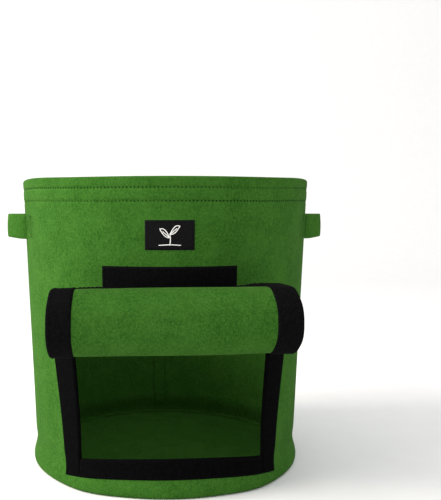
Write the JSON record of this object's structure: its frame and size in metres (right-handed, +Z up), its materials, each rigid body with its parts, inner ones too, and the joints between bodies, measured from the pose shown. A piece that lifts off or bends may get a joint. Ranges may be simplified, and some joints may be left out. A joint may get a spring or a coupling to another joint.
{
  "type": "fabric grow bag",
  "caption": "Round felt planting bag with two carrying loops and a front harvest window under a roll-up felt flap held by hook-and-loop tape.",
  "frame": {"origin": "centre of the round base's underside, on the floor", "axes": "+Z up, the window and its flap face -Y, the handles point along +X and -X"},
  "size_m": [0.386, 0.4018, 0.335],
  "materials": {
    "felt_wall": "needle-punched felt",
    "felt_base": "needle-punched felt",
    "felt_handle": "needle-punched felt",
    "felt_flap": "needle-punched felt",
    "hook_and_loop_tape": "brushed loop pile",
    "label": "satin weave",
    "thread_green": "polyester thread",
    "thread_black": "polyester thread"
  },
  "bodies": {
    "bag": {"wall_panel": "felt_wall", "base_disc": "felt_base", "window_tape_right": "hook_and_loop_tape", "window_tape_left": "hook_and_loop_tape", "window_tape_bottom": "hook_and_loop_tape", "keeper_tape": "hook_and_loop_tape", "label_patch": "label", "flap_sewn_edge": "felt_flap", "right_handle_ends": "felt_handle", "left_handle_ends": "felt_handle", "right_handle_stitch": "thread_green", "left_handle_stitch": "thread_green", "base_seam_stitch": "thread_green", "back_seam_stitch": "thread_green", "window_tape_stitch": "thread_black", "keeper_stitch": "thread_black", "label_stitch": "thread_black", "flap_seam_stitch": "thread_green", "rim_stitch_upper": "thread_green", "rim_stitch_lower": "thread_green"},
    "right_handle": {"right_handle_loop": "felt_handle"},
    "left_handle": {"left_handle_loop": "felt_handle"},
    "flap_1": {"flap_strip_1": "felt_flap", "flap_side_tapes_1": "hook_and_loop_tape"},
    "flap_2": {"flap_strip_2": "felt_flap", "flap_side_tapes_2": "hook_and_loop_tape"},
    "flap_3": {"flap_strip_3": "felt_flap", "flap_side_tapes_3": "hook_and_loop_tape"},
    "flap_4": {"flap_strip_4": "felt_flap", "flap_side_tapes_4": "hook_and_loop_tape"},
    "flap_5": {"flap_strip_5": "felt_flap", "flap_side_tapes_5": "hook_and_loop_tape"},
    "flap_6": {"flap_strip_6": "felt_flap", "flap_side_tapes_6": "hook_and_loop_tape"},
    "flap_7": {"flap_strip_7": "felt_flap", "flap_side_tapes_7": "hook_and_loop_tape", "flap_bottom_tape": "hook_and_loop_tape"}
  },
  "joints": [
    {"name": "right_handle_lift", "type": "hinge", "parent": "bag", "child": "right_handle", "pos_m": [0.16933, 0, 0.296], "axis": [0, -1, 0], "range_deg": [0, 60]},
    {"name": "left_handle_lift", "type": "hinge", "parent": "bag", "child": "left_handle", "pos_m": [-0.16933, 0, 0.296], "axis": [0, 1, 0], "range_deg": [0, 60]},
    {"name": "flap_unroll", "type": "hinge", "parent": "bag", "child": "flap_1", "pos_m": [0, -0.17306, 0.1762], "axis": [1, 0, 0], "range_deg": [0, 45]},
    {"name": "flap_bend_2", "type": "hinge", "parent": "flap_1", "child": "flap_2", "pos_m": [0, -0.19073, 0.15852], "axis": [1, 0, 0], "range_deg": [0, 45]},
    {"name": "flap_bend_3", "type": "hinge", "parent": "flap_2", "child": "flap_3", "pos_m": [0, -0.20673, 0.15852], "axis": [1, 0, 0], "range_deg": [0, 45]},
    {"name": "flap_bend_4", "type": "hinge", "parent": "flap_3", "child": "flap_4", "pos_m": [0, -0.22441, 0.1762], "axis": [1, 0, 0], "range_deg": [0, 45]},
    {"name": "flap_bend_5", "type": "hinge", "parent": "flap_4", "child": "flap_5", "pos_m": [0, -0.22441, 0.2048], "axis": [1, 0, 0], "range_deg": [0, 45]},
    {"name": "flap_bend_6", "type": "hinge", "parent": "flap_5", "child": "flap_6", "pos_m": [0, -0.20673, 0.22248], "axis": [1, 0, 0], "range_deg": [0, 45]},
    {"name": "flap_bend_7", "type": "hinge", "parent": "flap_6", "child": "flap_7", "pos_m": [0, -0.19073, 0.22248], "axis": [1, 0, 0], "range_deg": [0, 45]}
  ],
  "couplings": [
    {"joint": "flap_bend_2", "follows": "flap_unroll", "ratio": 1},
    {"joint": "flap_bend_3", "follows": "flap_unroll", "ratio": 1},
    {"joint": "flap_bend_4", "follows": "flap_unroll", "ratio": 1},
    {"joint": "flap_bend_5", "follows": "flap_unroll", "ratio": 1},
    {"joint": "flap_bend_6", "follows": "flap_unroll", "ratio": 1},
    {"joint": "flap_bend_7", "follows": "flap_unroll", "ratio": 1}
  ]
}
